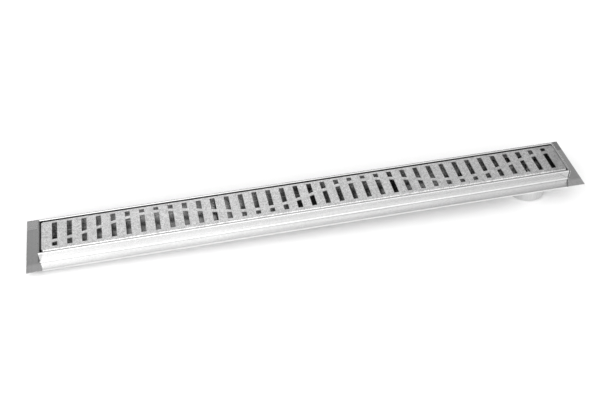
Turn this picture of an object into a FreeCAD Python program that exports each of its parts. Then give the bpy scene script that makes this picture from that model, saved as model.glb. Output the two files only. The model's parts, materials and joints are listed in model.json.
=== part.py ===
import FreeCAD, Part
import math
import os

# Linear channel drain, 800 mm, stainless steel sheet with a lift-out slotted grate.
# Units: millimetres.  +X along the channel (outlet towards +X), +Y across it, +Z up.
# Origin: middle of the plan outline, on the plane of the lower end of the outlet spigot.

V = FreeCAD.Vector

# ------------------------------------------------------------------ driving dimensions
flange_length = 800.0        # overall, outside edges of the bedding flange
flange_width = 100.0
sheet_t = 1.5                # all folded sheet
z_top = 56.0                 # top of rim and of grate
rim_height = 15.7            # rim top above flange top
channel_depth = 25.0         # rim top to channel floor
rim_out_y = 33.7             # outer faces of the raised rim, half widths
rim_out_x = 382.4
rim_width = 3.1              # folded rim, two sheets and a hairline gap
rim_corner_r = 2.2           # welded outer corners are ground round
bend_inside = 2.6            # inside radius at the flange folds
floor_bend_inside = 1.0      # inside radius at the floor folds

# front and back corners: where the end flange meets the long flanges
seam_back_y = 31.0           # end flange stops here, the corner belongs to the back flange
seam_front_right = 373.4     # x at the front edge of the slanted seams
seam_front_left = 378.6
seam_gap = 0.3
corner_slit = 0.8            # open slit at the front right corner: wall, fold and flange

# grate
grate_half_x = 378.5
grate_half_y = 28.7
grate_at_x = 0.7             # it lies loose: against the right end and a little forward
grate_at_y = -0.9
grate_skirt = 12.0           # overall height of the folded grate
grate_bend = 2.5             # outside bend radius, long sides
grate_end_bend = 1.8         # outside bend radius, ends
slot_pitch = 20.0
slot_columns = 37
slot_w = 7.1
slot_half = 22.7             # slots end at this distance from their middle line
slot_mid_y = 0.9             # that line, off the grate's own middle
slot_mid_x = 0.3             # middle of the slot row, off the grate's own middle
wave_amplitude = 13.6        # bridges follow a sine line
wave_period = 15 * slot_pitch
wave_offset = 0.5
bridge_w = 5.4

# stiffeners welded under the grate
crossbar_x = (-290.0, -90.0, 90.0, 290.0)
crossbar_h = 8.0
crossbar_foot = 5.0

# seats standing on the channel floor, with rubber strips
seat_x = (-371.2, -132.0, 132.0, 371.2)
seat_w = (12.0, 8.0, 8.0, 12.0)
seat_top = 42.0
seat_half_y = 30.2
rubber_t = 2.0

# outlet at the right end
outlet_x = 334.5
spigot_r = 28.5
spigot_wall = 1.5
spigot_end_z = 0.0

# rubber plug in the middle of the floor
plug_hole_r = 20.0
plug_head_r = 24.0
plug_head_t = 2.6

# drop-in trap
lip_r = 29.3
cup_r = 25.0
cup_bottom_z = 6.0
cup_wall = 1.5
standpipe_r = 11.0
standpipe_top_z = 24.0
bell_r = 18.5
bell_top_z = 30.5
bell_skirt_z = 12.0

# ------------------------------------------------------------------ derived levels
t = sheet_t
z_flange = z_top - rim_height        # top of flange
z_floor = z_top - channel_depth      # top of channel floor
rim_in_y = rim_out_y - rim_width
rim_in_x = rim_out_x - rim_width
half_x = flange_length / 2.0
half_y = flange_width / 2.0
mid_bend = bend_inside + t / 2.0
floor_bend = floor_bend_inside + t / 2.0
rim_bend = (rim_width - t) / 2.0     # half of the distance between the two sheets' middles


# ------------------------------------------------------------------ helpers
def folded_face(points, radii, thick, place):
    """Face of a folded sheet's section.  points: middle line, radii: middle-line bend
    radius at each inner point, place: maps (u, v) to a 3-D point."""
    n = len(points)
    starts, ends, arcs = [None] * n, [None] * n, [None] * n
    for i in range(n):
        p = points[i]
        if i == 0 or i == n - 1:
            starts[i] = ends[i] = p
            continue
        a, b = points[i - 1], points[i + 1]
        d0 = (p[0] - a[0], p[1] - a[1])
        d1 = (b[0] - p[0], b[1] - p[1])
        l0, l1 = math.hypot(*d0), math.hypot(*d1)
        d0 = (d0[0] / l0, d0[1] / l0)
        d1 = (d1[0] / l1, d1[1] / l1)
        cross = d0[0] * d1[1] - d0[1] * d1[0]
        dot = d0[0] * d1[0] + d0[1] * d1[1]
        turn = math.atan2(cross, dot)
        cut = radii[i] * math.tan(abs(turn) / 2.0)
        s = (p[0] - d0[0] * cut, p[1] - d0[1] * cut)
        e = (p[0] + d1[0] * cut, p[1] + d1[1] * cut)
        side = 1.0 if turn > 0 else -1.0
        c = (s[0] - d0[1] * side * radii[i], s[1] + d0[0] * side * radii[i])
        starts[i], ends[i], arcs[i] = s, e, (c, radii[i], side)

    def direction(i):
        a, b = ends[i], starts[i + 1]
        if math.hypot(b[0] - a[0], b[1] - a[1]) < 1e-9:
            a, b = points[i], points[i + 1]
        l = math.hypot(b[0] - a[0], b[1] - a[1])
        return ((b[0] - a[0]) / l, (b[1] - a[1]) / l)

    def one_side(off):
        out = []                                  # ("l", p, q) and ("a", p, m, q)
        for i in range(n - 1):
            d = direction(i)
            nx, ny = -d[1] * off, d[0] * off
            a = (ends[i][0] + nx, ends[i][1] + ny)
            b = (starts[i + 1][0] + nx, starts[i + 1][1] + ny)
            if math.hypot(b[0] - a[0], b[1] - a[1]) > 1e-6:
                out.append(("l", a, b))
            if arcs[i + 1] is not None:
                c, r, side = arcs[i + 1]
                rr = r - side * off
                d2 = direction(i + 1)
                q = (ends[i + 1][0] - d2[1] * off, ends[i + 1][1] + d2[0] * off)
                m = ((b[0] + q[0]) / 2.0 - c[0], (b[1] + q[1]) / 2.0 - c[1])
                ml = math.hypot(*m)
                out.append(("a", b, (c[0] + m[0] / ml * rr, c[1] + m[1] / ml * rr), q))
        return out

    left = one_side(thick / 2.0)
    right = one_side(-thick / 2.0)
    edges = []
    for e in left:
        if e[0] == "l":
            edges.append(Part.LineSegment(place(*e[1]), place(*e[2])).toShape())
        else:
            edges.append(Part.Arc(place(*e[1]), place(*e[2]), place(*e[3])).toShape())
    edges.append(Part.LineSegment(place(*left[-1][-1]), place(*right[-1][-1])).toShape())
    for e in reversed(right):
        if e[0] == "l":
            edges.append(Part.LineSegment(place(*e[2]), place(*e[1])).toShape())
        else:
            edges.append(Part.Arc(place(*e[3]), place(*e[2]), place(*e[1])).toShape())
    edges.append(Part.LineSegment(place(*right[0][1]), place(*left[0][1])).toShape())
    return Part.Face(Part.Wire(edges))


def prism(plan, z0, z1):
    """Vertical prism over a closed plan polygon."""
    pts = [V(x, y, z0) for x, y in plan]
    return Part.Face(Part.makePolygon(pts + [pts[0]])).extrude(V(0, 0, z1 - z0))


def turned(profile, cx, cy=0.0):
    """Solid of revolution about the vertical through (cx, cy).  profile: closed list of (r, z)."""
    pts = [V(cx + r, cy, z) for r, z in profile]
    return Part.Face(Part.makePolygon(pts + [pts[0]])).revolve(V(cx, cy, 0), V(0, 0, 1), 360)


def box(x0, x1, y0, y1, z0, z1):
    return Part.makeBox(x1 - x0, y1 - y0, z1 - z0, V(x0, y0, z0))


def solid(shape):
    """The one solid of a boolean result."""
    s = shape.removeSplitter()
    if len(s.Solids) != 1:
        raise ValueError("expected one solid, got %d" % len(s.Solids))
    return s.Solids[0]


parts = {}

# ------------------------------------------------------------------ channel body
# One folded sheet: front flange, front rim, floor, back rim, back flange.
yo = rim_out_y - t / 2.0
yi = rim_in_y + t / 2.0
zt = z_top - t / 2.0
zf = z_flange - t / 2.0
zb = z_floor - t / 2.0
section = [(-half_y, zf), (-yo, zf), (-yo, zt), (-yi, zt), (-yi, zb),
           (yi, zb), (yi, zt), (yo, zt), (yo, zf), (half_y, zf)]
bends = [0, mid_bend, rim_bend, rim_bend, floor_bend,
         floor_bend, rim_bend, rim_bend, mid_bend, 0]
body = folded_face(section, bends, t, lambda u, v: V(-half_x, u, v)).extrude(V(flange_length, 0, 0))

# Corners in plan.  Walls and rims of the two sheets meet on 45 degree mitres.  Outside
# the walls there is only flat flange: at the back the corner square belongs to the body,
# at the front to the end plate, and the front flange ends in a slanted seam.  The left
# front corner is mitred all through; at the right one the end plate's outer wall runs to
# the front and the body's outer wall stops short of it.
fold_x = rim_out_x + bend_inside
fold_y = rim_out_y + bend_inside
hair = 0.1
run = 12.4
xc, yc = rim_out_x, rim_out_y
xm, ym = rim_in_x + t + hair, rim_in_y + t + hair       # between inner and outer wall
by = -(yc + 2.8)                                        # where the front seam leaves the fold
far = 6.0


def seam_line(wall_x, seam_x, g):
    bx = wall_x - 1.3
    slope = (seam_x - bx) / (-half_y - by)
    return [(wall_x + g, -yc), (bx + g, by), (seam_x + g - slope * far, -half_y - far)]


def mirror(plan, side):
    return [(side * x, y) for x, y in plan]


hs = corner_slit / 2.0
body_seam = {-1.0: seam_line(xc, seam_front_left, 0.0),
             1.0: [(xm - corner_slit, -ym)] + seam_line(xm - hs, seam_front_right, -hs)}
plate_wall = {-1.0: [(xm + hair, -ym), (xc + hair, -yc)], 1.0: [(xm, -yc)]}
plate_seam = {-1.0: seam_line(xc, seam_front_left, seam_gap), 1.0: seam_line(xm - hs, seam_front_right, hs)}

for side in (1.0, -1.0):
    gone = [(half_x + far, half_y + far), (xc, half_y + far), (xc, yc), (xm, ym), (xc - run, yc - run),
            (xc - run, -(yc - run)), (xm, -ym)] + body_seam[side] + [(half_x + far, -half_y - far)]
    body = body.cut(prism(mirror(gone, side), z_floor, z_top + 4))
    xs = sorted((side * (rim_in_x + t), side * (half_x + far)))
    body = body.cut(box(xs[0], xs[1], -rim_out_y - 2, rim_out_y + 2, z_floor - 8, z_floor))
    tab = [(xc - 1, half_y), (half_x, half_y), (half_x, seam_back_y), (fold_x + seam_gap, seam_back_y),
           (fold_x + seam_gap, yc + seam_gap), (xc, yc + seam_gap), (xc, fold_y), (xc - 1, fold_y)]
    body = body.fuse(prism(mirror(tab, side), z_flange - t, z_flange))
body = body.cut(Part.makeCylinder(spigot_r - spigot_wall, 6, V(outlet_x, 0, z_floor - 4), V(0, 0, 1)))
body = body.cut(Part.makeCylinder(plug_hole_r, 6, V(0, 0, z_floor - 4), V(0, 0, 1)))


def round_corner(shape, sx, sy):
    r = rim_corner_r
    x0, x1 = sorted((sx * (xc - r), sx * (xc + 0.5)))
    y0, y1 = sorted((sy * (yc - r), sy * (yc + 0.5)))
    block = box(x0, x1, y0, y1, z_flange, z_top + 4)
    post = Part.makeCylinder(r, z_top + 6 - z_flange, V(sx * (xc - r), sy * (yc - r), z_flange - 1), V(0, 0, 1))
    return shape.cut(block.cut(post))


body = round_corner(body, -1.0, -1.0)
parts["channel_body"] = solid(body)

# ------------------------------------------------------------------ end plates
# Inner end wall standing on the floor, folded over the rim and out to the flange.
xo = rim_out_x - t / 2.0
xi = rim_in_x + t / 2.0
for name, side in (("left_end_plate", -1.0), ("right_end_plate", 1.0)):
    sec = [(half_x, zf), (xo, zf), (xo, zt), (xi, zt), (xi, z_floor)]
    face = folded_face(sec, [0, mid_bend, rim_bend, rim_bend, 0], t,
                       lambda u, v, s=side: V(s * u, -half_y, v))
    raw = face.extrude(V(0, flange_width, 0))
    keep = [(half_x + far, seam_back_y - seam_gap), (fold_x, seam_back_y - seam_gap), (fold_x, yc),
            (xc + hair, yc), (xm + hair, ym), (xm, ym), (xc - run, yc - run), (xc - run, -(yc - run)),
            (xm, -ym)] + plate_wall[side] + [(half_x + far, -yc)]
    raw = raw.common(prism(mirror(keep, side), z_floor, z_top + 4)).cut(parts["channel_body"])
    tab = [(half_x, -yc + 1), (fold_x, -yc + 1), (fold_x, -yc)] + plate_seam[side]
    tab += [(half_x, -half_y - far)]
    flat = prism(mirror(tab, side), z_flange - t, z_flange).common(
        box(-half_x, half_x, -half_y, half_y, z_flange - t, z_flange))
    plate = raw.fuse(flat)
    if side < 0:
        plate = round_corner(plate, side, -1.0)
    parts[name] = solid(plate)

# ------------------------------------------------------------------ outlet spigot
# Tube welded under the floor hole, with its weld fillet.
r0 = spigot_r - spigot_wall
z1 = z_floor - t
parts["outlet_spigot"] = solid(turned([
    (r0 + 0.3, spigot_end_z), (spigot_r - 0.4, spigot_end_z), (spigot_r, spigot_end_z + 0.4),
    (spigot_r, z1 - 2.4), (spigot_r + 0.5, z1 - 1.3), (spigot_r + 1.2, z1 - 0.5), (spigot_r + 2.3, z1),
    (r0, z1), (r0, spigot_end_z + 0.3)], outlet_x))

# ------------------------------------------------------------------ centre plug
# Rubber blanking plug: flat head on the floor, neck in the hole, bead below.
hz = z_floor + plug_head_t
parts["centre_plug"] = solid(turned([
    (0, hz - 0.5), (9.0, hz - 0.5), (9.6, hz), (plug_head_r - 0.9, hz), (plug_head_r - 0.25, hz - 0.35),
    (plug_head_r, hz - 1.0), (plug_head_r, z_floor), (plug_hole_r, z_floor), (plug_hole_r, z1),
    (plug_hole_r + 1.8, z1 - 0.8), (plug_hole_r + 1.8, z1 - 2.0), (plug_hole_r - 1.6, z1 - 6.0),
    (plug_hole_r - 3.2, z1 - 6.0), (plug_hole_r - 3.2, z_floor - 0.6), (0, z_floor - 0.6)], 0.0))

# ------------------------------------------------------------------ grate
# One sheet folded down on four sides, open notches at the corners, punched slots.
gx, gy, gb = grate_half_x, grate_half_y, grate_bend
zs = z_top - grate_skirt
ge = grate_end_bend
mid, mid_end = gb - t / 2.0, ge - t / 2.0
long_sec = [(-gy + t / 2.0, zs), (-gy + t / 2.0, zt), (gy - t / 2.0, zt), (gy - t / 2.0, zs)]
end_sec = [(-gx + t / 2.0, zs), (-gx + t / 2.0, zt), (gx - t / 2.0, zt), (gx - t / 2.0, zs)]
g1 = folded_face(long_sec, [0, mid, mid, 0], t, lambda u, v: V(-gx + gb, u, v)).extrude(V(2 * (gx - gb), 0, 0))
g2 = folded_face(end_sec, [0, mid_end, mid_end, 0], t, lambda u, v: V(u, -gy + gb, v)).extrude(V(0, 2 * (gy - gb), 0))
grate = g1.fuse(g2).removeSplitter()


def wave(x):
    return slot_mid_y + wave_offset + wave_amplitude * math.sin(2 * math.pi * x / wave_period)


cutters = []
for k in range(slot_columns):
    xk = (k - (slot_columns - 1) / 2.0) * slot_pitch
    xa, xb = xk - slot_w / 2.0, xk + slot_w / 2.0
    wa, wb = wave(xa), wave(xb)
    h = bridge_w / 2.0
    y0, y1 = slot_mid_y - slot_half, slot_mid_y + slot_half
    xa, xb = xa + slot_mid_x, xb + slot_mid_x
    cutters.append(prism([(xa, y0), (xb, y0), (xb, wb - h), (xa, wa - h)], z_top - 4, z_top + 4))
    cutters.append(prism([(xa, wa + h), (xb, wb + h), (xb, y1), (xa, y1)], z_top - 4, z_top + 4))
grate = grate.cut(Part.makeCompound(cutters))
grate.translate(V(grate_at_x, grate_at_y, 0))
parts["grate_plate"] = solid(grate)

# ------------------------------------------------------------------ grate crossbars
# Small folded angles welded across the underside of the grate.
zu = z_top - t
for i, x in enumerate(crossbar_x):
    sec = [(x + crossbar_foot, zu - t / 2.0), (x, zu - t / 2.0), (x, zu - crossbar_h)]
    face = folded_face(sec, [0, 1.25, 0], t,
                       lambda u, v: V(u + slot_mid_x + grate_at_x, -gy + gb + grate_at_y, v))
    parts["grate_crossbar_%d" % (i + 1)] = solid(face.extrude(V(0, 2 * (gy - gb), 0)))

# ------------------------------------------------------------------ seats and rubber strips
for i, (x, w) in enumerate(zip(seat_x, seat_w)):
    ys = seat_half_y - t / 2.0
    sec = [(-19.0, z_floor + t / 2.0), (-ys, z_floor + t / 2.0), (-ys, seat_top - t / 2.0),
           (ys, seat_top - t / 2.0), (ys, z_floor + t / 2.0), (19.0, z_floor + t / 2.0)]
    face = folded_face(sec, [0, 1.25, 1.25, 1.25, 1.25, 0], t, lambda u, v: V(x - w / 2.0, u, v))
    parts["grate_seat_%d" % (i + 1)] = solid(face.extrude(V(w, 0, 0)))
    hw = w / 2.0
    e = 0.5
    rub = [(x - hw, seat_top), (x - hw, seat_top + rubber_t - e), (x - hw + e, seat_top + rubber_t),
           (x + hw - e, seat_top + rubber_t), (x + hw, seat_top + rubber_t - e), (x + hw, seat_top)]
    yr = ys - 0.85
    pts = [V(a, -yr, b) for a, b in rub]
    parts["seat_rubber_%d" % (i + 1)] = solid(Part.Face(Part.makePolygon(pts + [pts[0]])).extrude(V(0, 2 * yr, 0)))

# ------------------------------------------------------------------ drop-in trap
# Rubber ring of L section: lies on the floor round the outlet and lines its edge.
seal_in = cup_r + 0.05
parts["trap_seal_ring"] = solid(turned([
    (seal_in, 27.0), (seal_in + 1.5, 27.0), (r0 - 0.1, 28.6), (r0 - 0.1, z_floor),
    (lip_r, z_floor), (lip_r, z_floor + 1.5), (seal_in, z_floor + 1.5)], outlet_x))

# Cup with lip, annular bottom and standpipe.
lz = z_floor + 1.5
ci = cup_r - cup_wall
si = standpipe_r - cup_wall
parts["trap_cup"] = solid(turned([
    (si, cup_bottom_z), (cup_r - 1.5, cup_bottom_z), (cup_r, cup_bottom_z + 1.5), (cup_r, lz),
    (lip_r, lz), (lip_r, lz + 1.1), (lip_r - 0.4, lz + 1.5), (ci, lz + 1.5), (ci, cup_bottom_z + 2.3),
    (ci - 0.8, cup_bottom_z + cup_wall), (standpipe_r, cup_bottom_z + cup_wall),
    (standpipe_r, standpipe_top_z), (si, standpipe_top_z)], outlet_x))

# Bell over the standpipe, on three feet that stand in the cup.
bi = bell_r - 1.5
bell = turned([
    (0, bell_top_z), (bell_r - 2.4, bell_top_z), (bell_r - 0.7, bell_top_z - 0.7), (bell_r, bell_top_z - 2.4),
    (bell_r, bell_skirt_z), (bi, bell_skirt_z), (bi, bell_top_z - 3.0), (bi - 1.5, bell_top_z - 1.5),
    (0, bell_top_z - 1.5)], outlet_x)
for a in (30, 150, 270):
    foot = box(bi + 0.05, bell_r - 0.05, -2.0, 2.0, cup_bottom_z + cup_wall, bell_skirt_z + 3.0)
    foot.rotate(V(0, 0, 0), V(0, 0, 1), a)
    foot.translate(V(outlet_x, 0, 0))
    bell = bell.fuse(foot)
parts["trap_bell"] = solid(bell)

# Hair strainer: pressed dish hanging in the mouth of the cup, drilled all over.
sz = lz + 1.5
dr = ci - 0.6
st = 1.0
strainer = turned([
    (0, sz - 2.5), (dr, sz - 2.5), (dr, sz), (lip_r - 0.7, sz), (lip_r - 0.7, sz + st - 0.3),
    (lip_r - 1.0, sz + st), (dr - st, sz + st), (dr - st, sz - 2.5 + st), (0, sz - 2.5 + st)], outlet_x)
holes = []
for r, n in ((7.0, 8), (11.6, 14), (16.2, 20)):
    for j in range(n):
        a = 2 * math.pi * (j + (0.5 if r > 11 and r < 12 else 0.0)) / n
        holes.append(Part.makeCylinder(1.5, 8, V(outlet_x + r * math.cos(a), r * math.sin(a), sz - 6), V(0, 0, 1)))
strainer = strainer.cut(Part.makeCompound(holes))
strainer = strainer.cut(Part.makeCylinder(1.6, 8, V(outlet_x, 0, sz - 6), V(0, 0, 1)))
parts["hair_strainer"] = solid(strainer)

# Riveted lifting knob in the middle of the strainer.
kz = sz - 2.5
parts["strainer_knob"] = solid(turned([
    (0, kz - 0.8), (2.6, kz - 0.8), (2.6, kz), (1.6, kz), (1.6, kz + st), (3.0, kz + st), (2.6, kz + 4.0),
    (5.0, kz + 5.6), (5.2, kz + 6.6), (4.2, kz + 7.6), (0, kz + 7.9)], outlet_x))

# ------------------------------------------------------------------ output
os.makedirs("parts", exist_ok=True)
for name, shape in parts.items():
    if not shape.isValid():
        raise ValueError("invalid solid " + name)
    shape.exportStep("parts/%s.step" % name)
    bb = shape.BoundBox
    print("%-18s vol %10.1f  x %.2f %.2f  y %.2f %.2f  z %.2f %.2f" % (
        name, shape.Volume, bb.XMin, bb.XMax, bb.YMin, bb.YMax, bb.ZMin, bb.ZMax))
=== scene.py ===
import json
import math

import bpy
from mathutils import Matrix, Vector


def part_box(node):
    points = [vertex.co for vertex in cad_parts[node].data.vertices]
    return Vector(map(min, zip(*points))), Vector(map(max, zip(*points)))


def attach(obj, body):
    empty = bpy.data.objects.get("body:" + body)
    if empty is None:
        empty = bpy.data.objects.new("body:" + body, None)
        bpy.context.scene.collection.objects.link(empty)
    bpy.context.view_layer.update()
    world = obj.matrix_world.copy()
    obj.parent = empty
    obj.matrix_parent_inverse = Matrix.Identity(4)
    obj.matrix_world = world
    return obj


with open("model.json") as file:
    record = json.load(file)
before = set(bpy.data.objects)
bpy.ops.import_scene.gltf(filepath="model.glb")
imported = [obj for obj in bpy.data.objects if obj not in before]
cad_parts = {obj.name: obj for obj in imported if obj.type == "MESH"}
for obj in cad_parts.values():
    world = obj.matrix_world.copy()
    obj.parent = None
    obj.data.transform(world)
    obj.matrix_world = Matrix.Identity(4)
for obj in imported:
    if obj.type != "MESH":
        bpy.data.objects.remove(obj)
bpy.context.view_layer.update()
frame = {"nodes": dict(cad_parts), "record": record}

NODES = frame["nodes"]
scene = bpy.context.scene
scene.view_settings.view_transform = "Standard"
scene.view_settings.look = "None"
scene.view_settings.exposure = 0.0
scene.view_settings.gamma = 1.0


# ------------------------------------------------------------------ node helpers
class Tree:
    """Small wrapper for building a node tree."""

    def __init__(self, tree):
        self.t = tree
        self.t.nodes.clear()

    def new(self, kind, **props):
        n = self.t.nodes.new(kind)
        for k, v in props.items():
            setattr(n, k, v)
        return n

    def link(self, a, b):
        self.t.links.new(a, b)

    def put(self, socket, value):
        if hasattr(value, "links") or isinstance(value, bpy.types.NodeSocket):
            self.link(value, socket)
        else:
            socket.default_value = value

    def math(self, op, a, b=None, c=None, clamp=False):
        n = self.new("ShaderNodeMath", operation=op, use_clamp=clamp)
        self.put(n.inputs[0], a)
        if b is not None:
            self.put(n.inputs[1], b)
        if c is not None:
            self.put(n.inputs[2], c)
        return n.outputs[0]

    def vmath(self, op, a, b=None):
        n = self.new("ShaderNodeVectorMath", operation=op)
        self.put(n.inputs[0], a)
        if b is not None:
            self.put(n.inputs[1], b)
        return n.outputs[1] if op in ("DOT_PRODUCT", "LENGTH") else n.outputs[0]

    def remap(self, v, a, b, c, d, kind="LINEAR", clamp=True):
        n = self.new("ShaderNodeMapRange", interpolation_type=kind, clamp=clamp)
        self.put(n.inputs[0], v)
        for i, x in zip((1, 2, 3, 4), (a, b, c, d)):
            self.put(n.inputs[i], x)
        return n.outputs[0]

    def noise(self, vec, scale, detail=2.0, rough=0.5, dist=0.0, seed=(0, 0, 0)):
        m = self.new("ShaderNodeMapping")
        self.put(m.inputs["Vector"], vec)
        m.inputs["Location"].default_value = seed
        if isinstance(scale, tuple):
            m.inputs["Scale"].default_value = scale
            s = 1.0
        else:
            s = scale
        n = self.new("ShaderNodeTexNoise")
        self.link(m.outputs[0], n.inputs["Vector"])
        n.inputs["Scale"].default_value = s
        n.inputs["Detail"].default_value = detail
        n.inputs["Roughness"].default_value = rough
        n.inputs["Distortion"].default_value = dist
        return n.outputs["Fac"]

    def mixf(self, f, a, b):
        n = self.new("ShaderNodeMix", data_type="FLOAT")
        self.put(n.inputs[0], f)
        self.put(n.inputs[2], a)
        self.put(n.inputs[3], b)
        return n.outputs[0]

    def mixc(self, f, a, b):
        n = self.new("ShaderNodeMix", data_type="RGBA")
        self.put(n.inputs[0], f)
        self.put(n.inputs[6], a)
        self.put(n.inputs[7], b)
        return n.outputs[2]

    def bump(self, height, strength, distance, normal=None):
        n = self.new("ShaderNodeBump")
        n.inputs["Strength"].default_value = strength
        n.inputs["Distance"].default_value = distance
        self.put(n.inputs["Height"], height)
        if normal is not None:
            self.link(normal, n.inputs["Normal"])
        return n.outputs[0]


def grey(v, warm=0.0):
    return (v * (1 + warm), v, v * (1 - warm), 1.0)


def material(name, metallic, aniso=0.0, ior=1.5):
    m = bpy.data.materials.new(name)
    m.use_nodes = True
    t = Tree(m.node_tree)
    out = t.new("ShaderNodeOutputMaterial")
    b = t.new("ShaderNodeBsdfPrincipled")
    t.link(b.outputs[0], out.inputs[0])
    b.inputs["Metallic"].default_value = metallic
    b.inputs["Anisotropic"].default_value = aniso
    b.inputs["IOR"].default_value = ior
    co = t.new("ShaderNodeTexCoord").outputs["Object"]
    return m, t, b, co


# ------------------------------------------------------------------ finishes
INNER_DARK, INNER_LIGHT, INNER_ROUGH = 0.42, 0.50, 0.25


def tray_finish(name, along, dark, light, r0, r1, wave):
    """Bright cold-rolled sheet: fine rolling lines along one axis, a little oil-canning,
    faint smears and a few scratches.  Inside the channel the sheet is a little darker."""
    m, t, b, co = material(name, 1.0)
    long_s, fine_s = 9.0, 900.0
    if along == "x":
        line_scale, streak_scale = (long_s, fine_s, fine_s), (5.0, 190.0, 190.0)
    else:
        line_scale, streak_scale = (fine_s, long_s, fine_s), (190.0, 5.0, 190.0)
    lines = t.noise(co, line_scale, 3.0, 0.6)
    streaks = t.noise(co, streak_scale, 2.0, 0.5, seed=(3.1, 1.7, 0.4))
    smear = t.noise(co, 16.0, 3.0, 0.55, seed=(7.0, 2.0, 5.0))
    speck = t.noise(co, 1500.0, 2.0, 0.5, seed=(1.0, 4.0, 2.0))
    cloud = t.noise(co, 120.0, 4.0, 0.6, seed=(5.0, 0.0, 3.0))
    grain = t.noise(co, (260.0, 420.0, 420.0), 3.0, 0.6, seed=(6.0, 3.0, 9.0))
    xyz = t.new("ShaderNodeSeparateXYZ")
    t.link(co, xyz.inputs[0])
    in_y = t.math("LESS_THAN", t.math("ABSOLUTE", xyz.outputs["Y"]), 0.0307)
    in_x = t.math("LESS_THAN", t.math("ABSOLUTE", xyz.outputs["X"]), 0.3796)
    in_z = t.math("LESS_THAN", xyz.outputs["Z"], 0.0535)
    inside = t.math("MULTIPLY", t.math("MULTIPLY", in_y, in_x), in_z)
    tone = t.math("ADD", t.math("MULTIPLY", lines, 0.25), t.math("MULTIPLY", streaks, 0.35))
    tone = t.math("ADD", tone, t.math("MULTIPLY", grain, 0.40))
    tone = t.remap(tone, 0.36, 0.64, 0.0, 1.0)
    outer = t.mixc(tone, grey(dark), grey(light))
    cloudy = t.remap(cloud, 0.3, 0.7, 0.0, 1.0)
    inner = t.mixc(cloudy, grey(INNER_DARK), grey(INNER_LIGHT))
    # the inside of the channel darkens towards the outlet end
    darker_to_outlet = t.remap(xyz.outputs["X"], -0.12, 0.22, 0.0, 1.0, "SMOOTHSTEP")
    inner = t.mixc(darker_to_outlet, inner, t.mixc(cloudy, grey(0.25), grey(0.35)))
    if along == "y":
        # painted highlight: the front of each end flange, past the fold, is painted a little brighter, standing in
        # for the light its slight tilt catches
        front = t.mixc(tone, grey(dark * 1.27), grey(light * 1.27))
        outer = t.mixc(t.remap(xyz.outputs["Y"], -0.035, -0.039, 0.0, 1.0), outer, front)
    else:
        # the corner tabs at both ends are darker
        tab = t.remap(t.math("ABSOLUTE", xyz.outputs["X"]), 0.3826, 0.3834, 0.0, 1.0)
        outer = t.mixc(tab, outer, t.mixc(tone, grey(0.37), grey(0.43)))
        # painted shade: the outer half of the front flange is painted darker, grading away from the fold
        painted_flange_shade = t.remap(xyz.outputs["Y"], -0.039, -0.046, 0.0, 1.0, "SMOOTHSTEP")
        outer = t.mixc(painted_flange_shade, outer, t.mixc(tone, grey(dark * 0.88), grey(light * 0.88)))
        # painted shade along the back edge, a dark line standing in for the dark horizon it mirrors, and a painted
        # highlight along the front edge
        outer = t.mixc(t.remap(xyz.outputs["Y"], 0.0480, 0.0486, 0.0, 1.0), outer, grey(0.30))
        outer = t.mixc(t.remap(xyz.outputs["Y"], -0.0486, -0.0490, 0.0, 1.0), outer, grey(0.82))
    t.link(t.mixc(inside, outer, inner), b.inputs["Base Color"])
    rough = t.math("ADD", t.remap(smear, 0.3, 0.7, r0, r1), t.math("MULTIPLY_ADD", lines, 0.08, -0.04))
    rough = t.math("ADD", rough, t.math("MULTIPLY_ADD", speck, 0.05, -0.025), clamp=True)
    dull = t.math("MULTIPLY_ADD", cloud, 0.1, INNER_ROUGH - 0.05)
    t.link(t.mixf(inside, rough, dull), b.inputs["Roughness"])
    oil = t.noise(co, (11.0, 16.0, 30.0), 1.0, 0.4, seed=(2.0, 8.0, 1.0))
    n0 = t.bump(oil, 1.0, wave)
    n1 = t.bump(lines, 1.0, 0.0000045, n0)
    n2 = t.bump(grain, 1.0, 0.000012, n1)
    t.link(n2, b.inputs["Normal"])
    return m


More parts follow.
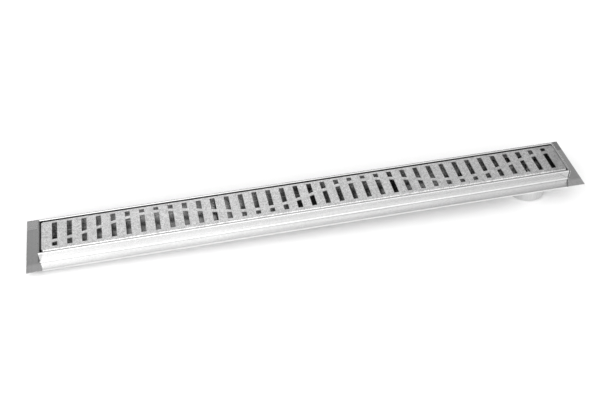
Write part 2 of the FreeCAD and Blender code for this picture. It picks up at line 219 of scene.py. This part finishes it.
def grate_finish():
    """Satin blasted-and-brushed top: mottled grain with small pits, handling marks in the roughness, painted shade
    over the right end.
    """
    m, t, b, co = material("grate_satin", 1.0)
    mott = t.noise(co, 260.0, 4.0, 0.7)
    fine = t.noise(co, 1500.0, 3.0, 0.6, seed=(4.0, 1.0, 0.0))
    broad = t.noise(co, 9.0, 2.0, 0.5, seed=(0.3, 0.8, 0.0))
    hand = t.noise(co, (60.0, 25.0, 40.0), 3.0, 0.6, 0.6, seed=(5.0, 5.0, 1.0))
    mid = t.noise(co, 640.0, 2.0, 0.6, seed=(8.0, 2.0, 6.0))
    tone = t.math("ADD", t.math("MULTIPLY", mott, 0.4), t.math("MULTIPLY", mid, 0.45))
    tone = t.math("ADD", tone, t.math("MULTIPLY", fine, 0.15))
    tone = t.remap(tone, 0.41, 0.59, 0.0, 1.0)
    c = t.mixc(tone, grey(0.50), grey(0.94))
    # painted shade: the right end of the grate is painted darker, in soft uneven patches, where the light falls off
    xyz = t.new("ShaderNodeSeparateXYZ")
    t.link(co, xyz.inputs[0])
    edge = t.math("MULTIPLY_ADD", broad, 0.012, -0.006)
    painted_end_shade = t.remap(t.math("ADD", xyz.outputs["X"], edge), 0.335, 0.376, 0.0, 0.75, "SMOOTHSTEP")
    shaded_tone = t.mixc(tone, grey(0.34), grey(0.62))
    t.link(t.mixc(painted_end_shade, c, shaded_tone), b.inputs["Base Color"])
    # scratches: two sets of thin bent lines, only here and there
    s1 = t.noise(co, (14.0, 420.0, 30.0), 1.0, 0.3, 0.4, seed=(9.0, 0.0, 0.0))
    rot = t.new("ShaderNodeMapping")
    t.link(co, rot.inputs["Vector"])
    rot.inputs["Rotation"].default_value = (0.0, 0.0, 0.7)
    s2 = t.noise(rot.outputs[0], (20.0, 500.0, 30.0), 1.0, 0.3, 0.4, seed=(2.0, 6.0, 0.0))
    l1 = t.remap(t.math("ABSOLUTE", t.math("SUBTRACT", s1, 0.5)), 0.0, 0.008, 1.0, 0.0)
    l2 = t.remap(t.math("ABSOLUTE", t.math("SUBTRACT", s2, 0.5)), 0.0, 0.007, 1.0, 0.0)
    where = t.remap(t.noise(co, 22.0, 2.0, 0.5, seed=(3.0, 3.0, 3.0)), 0.55, 0.68, 0.0, 1.0)
    lines = t.math("MULTIPLY", t.math("MAXIMUM", l1, l2), where, clamp=True)
    r = t.math("ADD", t.remap(hand, 0.3, 0.7, 0.36, 0.46), t.math("MULTIPLY_ADD", fine, 0.12, -0.06))
    r = t.math("SUBTRACT", r, t.math("MULTIPLY", lines, 0.12), clamp=True)
    t.link(r, b.inputs["Roughness"])
    n0 = t.bump(mid, 1.0, 0.00007, t.bump(mott, 1.0, 0.00012))
    n1 = t.bump(fine, 1.0, 0.000012, n0)
    n2 = t.bump(t.math("MULTIPLY", lines, -1.0), 1.0, 0.00001, n1)
    t.link(n2, b.inputs["Normal"])
    return m


def spigot_finish():
    """Drawn tube polished round its axis, with lengthwise draw lines."""
    m, t, b, co = material("spigot_bright", 1.0)
    draw = t.noise(co, (330.0, 330.0, 7.0), 3.0, 0.6)
    fine = t.noise(co, (1900.0, 1900.0, 30.0), 2.0, 0.5, seed=(1.0, 2.0, 0.0))
    smear = t.noise(co, 40.0, 3.0, 0.5)
    tone = t.remap(t.math("ADD", t.math("MULTIPLY", draw, 0.7), t.math("MULTIPLY", fine, 0.3)), 0.33, 0.67, 0.0, 1.0)
    t.link(t.mixc(tone, grey(0.52), grey(0.74)), b.inputs["Base Color"])
    t.link(t.math("ADD", t.remap(smear, 0.3, 0.7, 0.16, 0.26), t.math("MULTIPLY_ADD", fine, 0.1, -0.05), clamp=True),
           b.inputs["Roughness"])
    n0 = t.bump(draw, 1.0, 0.00006)
    n1 = t.bump(fine, 1.0, 0.000006, n0)
    t.link(n1, b.inputs["Normal"])
    return m


def rubber_finish():
    m, t, b, co = material("black_rubber", 0.0, ior=1.5)
    fine = t.noise(co, 1400.0, 3.0, 0.6)
    dust = t.noise(co, 70.0, 4.0, 0.65, seed=(2.0, 0.0, 1.0))
    t.link(t.mixc(t.remap(dust, 0.45, 0.75, 0.0, 1.0), grey(0.008), grey(0.024)), b.inputs["Base Color"])
    t.link(t.remap(fine, 0.3, 0.7, 0.55, 0.75), b.inputs["Roughness"])
    b.inputs["Specular IOR Level"].default_value = 0.35
    t.link(t.bump(fine, 1.0, 0.00003), b.inputs["Normal"])
    return m


def plastic_finish():
    m, t, b, co = material("grey_plastic", 0.0, ior=1.49)
    fine = t.noise(co, 1800.0, 2.0, 0.5)
    cloud = t.noise(co, 60.0, 3.0, 0.5)
    t.link(t.mixc(t.remap(cloud, 0.3, 0.7, 0.0, 1.0), grey(0.23), grey(0.27)), b.inputs["Base Color"])
    t.link(t.remap(fine, 0.3, 0.7, 0.38, 0.52), b.inputs["Roughness"])
    t.link(t.bump(fine, 1.0, 0.000015), b.inputs["Normal"])
    return m


MATS = {
    "tray_steel": tray_finish("tray_bright", "x", 0.60, 0.73, 0.20, 0.27, 0.00022),
    # the end plates take a much darker copy of the sheet: painted shade on the left end, which faces away from the
    # light
    "end_steel": tray_finish("end_left_painted_shade", "y", 0.30, 0.36, 0.20, 0.27, 0.00010),
    "inner_steel": tray_finish("inner_bright", "x", 0.50, 0.60, 0.24, 0.32, 0.00010),
    "grate_steel": grate_finish(),
    "spigot_steel": spigot_finish(),
    "black_rubber": rubber_finish(),
    "grey_plastic": plastic_finish(),
}
for part in frame["record"]["subparts"]:
    obj = NODES[part["node"]]
    obj.data.materials.clear()
    obj.data.materials.append(MATS[part["material_slot"]])
# the right end plate gets a lighter copy of the same sheet: lit and shaded copies painted in
NODES["right_end_plate"].data.materials[0] = tray_finish("end_right_lit_copy", "y", 0.54, 0.62, 0.20, 0.27, 0.00010)


# ------------------------------------------------------------------ edges
def soften(node, width, segments=2, angle=50.0):
    """A small radius on the sharp edges, for the light to catch."""
    mod = NODES[node].modifiers.new("edge", "BEVEL")
    mod.width = width
    mod.segments = segments
    mod.limit_method = "ANGLE"
    mod.angle_limit = math.radians(angle)
    mod.use_clamp_overlap = True
    mod.harden_normals = True


for node, width in (("channel_body", 0.00022), ("left_end_plate", 0.00022), ("right_end_plate", 0.00022)):
    soften(node, width)


# ------------------------------------------------------------------ painted shade in the seam at the right front corner
def seam_shade_strip(name, half_w, t_in, t_out, wall_only=False):
    """Painted shade: a dark strip in the open slit, which is only in shadow, down the outer wall, round the fold and
    out over the flange, from t_in to t_out off the sheet's middle.  Stations give y and z of the
    middle and the way the sheet's face looks."""
    x_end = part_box("channel_body")[1][0]
    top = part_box("channel_body")[1][2]
    wall_x, wall_y, sheet = x_end - 0.0195, -0.0337, 0.0015
    rim_r, fold_r, flange_z = 0.0008, 0.0026 + sheet / 2.0, top - 0.0157 - sheet / 2.0
    mid_y = wall_y + sheet / 2.0

    def seam_x(y):
        if y > wall_y:
            return wall_x
        if y > wall_y - 0.0028:
            return wall_x - 0.0013 * (wall_y - y) / 0.0028
        return wall_x - 0.0013 - 0.0058 * (wall_y - 0.0028 - y) / 0.0135

    stations = []
    for deg in (58, 40, 20, 0):
        a = math.radians(deg)
        stations.append((mid_y + rim_r * (1.0 - math.cos(a)), top - 0.00155 + rim_r * math.sin(a), -math.cos(a), math.sin(a)))
    for deg in (0, 22, 45, 68, 90):
        a = math.radians(deg)
        stations.append((mid_y - fold_r * (1.0 - math.cos(a)), flange_z + fold_r * (1.0 - math.sin(a)), -math.cos(a), math.sin(a)))
    stations.append((-0.04985, flange_z, 0.0, 1.0))
    if wall_only:
        stations = stations[:6]
    pts, faces = [], []
    for y, z, ny, nz in stations:
        x = seam_x(y)
        for sx, off in ((-1, t_out), (1, t_out), (1, t_in), (-1, t_in)):
            pts.append((x + sx * half_w, y + off * ny, z + off * nz))
    for i in range(len(stations) - 1):
        a, b = 4 * i, 4 * i + 4
        for j in range(4):
            k = (j + 1) % 4
            faces.append((a + j, a + k, b + k, b + j))
    last = 4 * (len(stations) - 1)
    faces += [(3, 2, 1, 0), (last, last + 1, last + 2, last + 3)]
    me = bpy.data.meshes.new(name)
    me.from_pydata(pts, [], faces)
    me.validate()
    me.materials.append(MATS["black_rubber"])
    ob = bpy.data.objects.new(name, me)
    scene.collection.objects.link(ob)
    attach(ob, "root")
    return ob


# dark strips in the black rubber finish, painted shade where the slit is only in shadow
seam_shade_strip("corner_seam_painted_shade", 0.00038, -0.00058, 0.00058)
seam_shade_strip("corner_seam_wall_painted_shade", 0.00062, 0.00076, 0.00090, wall_only=True)


# ------------------------------------------------------------------ floor
# The drain lies on the lower end of its spigot and on the far end of its floor, so the
# surface it stands on falls towards the outlet in the part's own frame.
lo_s, hi_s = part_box("outlet_spigot")
lo_b, hi_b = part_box("channel_body")
lo_r, hi_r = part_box("trap_seal_ring")
axis_x = (lo_r[0] + hi_r[0]) / 2.0
tube_r = 0.0285
xa, za = lo_b[0] + 0.0193, lo_b[2]           # under the left end wall
xb, zb = axis_x - tube_r, lo_s[2]
slope = (zb - za) / (xb - xa)


def floor_z(x):
    return za + slope * (x - xa)


S = 6.0
verts = [(x, y, floor_z(x) - 0.00005) for x, y in ((-S, -S), (S, -S), (S, S), (-S, S))]
mesh = bpy.data.meshes.new("floor")
mesh.from_pydata(verts, [], [(0, 1, 2, 3)])
floor = bpy.data.objects.new("floor", mesh)
scene.collection.objects.link(floor)
fm = bpy.data.materials.new("floor_white")
fm.use_nodes = True
ft = Tree(fm.node_tree)
fo = ft.new("ShaderNodeOutputMaterial")
fb = ft.new("ShaderNodeBsdfPrincipled")
ft.link(fb.outputs[0], fo.inputs[0])
fb.inputs["Base Color"].default_value = (0.96, 0.96, 0.96, 1.0)
fb.inputs["Roughness"].default_value = 0.9
fb.inputs["Specular IOR Level"].default_value = 0.1
mesh.materials.append(fm)

# ------------------------------------------------------------------ studio light
# A white room with soft lamps all round: low ones on the left and in front, one straight
# above, one behind the drain that the flat faces mirror.
world = bpy.data.worlds.new("studio")
scene.world = world
world.use_nodes = True
w = Tree(world.node_tree)
wo = w.new("ShaderNodeOutputWorld")
bg = w.new("ShaderNodeBackground")
w.link(bg.outputs[0], wo.inputs[0])
direction = w.vmath("NORMALIZE", w.new("ShaderNodeTexCoord").outputs["Generated"])


def lamp(az, el, width, strength):
    """Soft round lamp far away: az from +Y towards +X and el, its spread, all in degrees."""
    a, e = math.radians(az), math.radians(el)
    c = (math.sin(a) * math.cos(e), math.cos(a) * math.cos(e), math.sin(e))
    k = 1.0 / math.radians(width) ** 2
    d = w.vmath("DOT_PRODUCT", direction, c)
    return w.math("MULTIPLY", w.math("EXPONENT", w.math("MULTIPLY_ADD", d, k, -k)), strength)


AMBIENT = 0.00
LAMPS = [
    (0.0, 6.0, 25.0, 0.41),
    (120.0, 6.0, 25.0, 1.09),
    (180.0, 6.0, 25.0, 0.81),
    (240.0, 6.0, 25.0, 2.21),
    (300.0, 6.0, 25.0, 0.21),
    (0.0, 25.0, 18.0, 0.82),
    (90.0, 25.0, 18.0, 0.33),
    (180.0, 25.0, 18.0, 0.86),
    (225.0, 25.0, 18.0, 2.45),
    (270.0, 25.0, 18.0, 0.62),
    (0.0, 44.0, 11.0, 0.25),
    (13.0, 44.0, 11.0, 0.28),
    (166.0, 45.0, 16.0, 0.48),
    (190.0, 45.0, 16.0, 0.32),
    (218.0, 45.0, 16.0, 0.54),
    (250.0, 45.0, 16.0, 0.90),
    (180.0, 66.0, 18.0, 0.65),
    (0.0, 90.0, 18.0, 0.68),
]
total = None
for item in LAMPS:
    one = lamp(*item)
    total = one if total is None else w.math("ADD", total, one)
total = w.math("ADD", total, AMBIENT)
w.link(total, bg.inputs["Strength"])
bg.inputs["Color"].default_value = (1.0, 1.0, 1.0, 1.0)

# ------------------------------------------------------------------ camera
cam_data = bpy.data.cameras.new("camera")
cam = bpy.data.objects.new("camera", cam_data)
scene.collection.objects.link(cam)
right = Vector((0.97790452, -0.20875435, -0.01115176))
fwd = Vector((0.143594, 0.70951745, -0.68990271)).normalized()
up = right.cross(fwd).normalized()
right = fwd.cross(up).normalized()
m = Matrix.Identity(4)
for i in range(3):
    m[i][0], m[i][1], m[i][2] = right[i], up[i], -fwd[i]
m.translation = Vector((-0.19679867, -0.89359372, 0.90734896))
cam.matrix_world = m
cam_data.sensor_width = 36.0
cam_data.lens = 52.538
cam_data.clip_start = 0.01
cam_data.clip_end = 50.0
scene.camera = cam
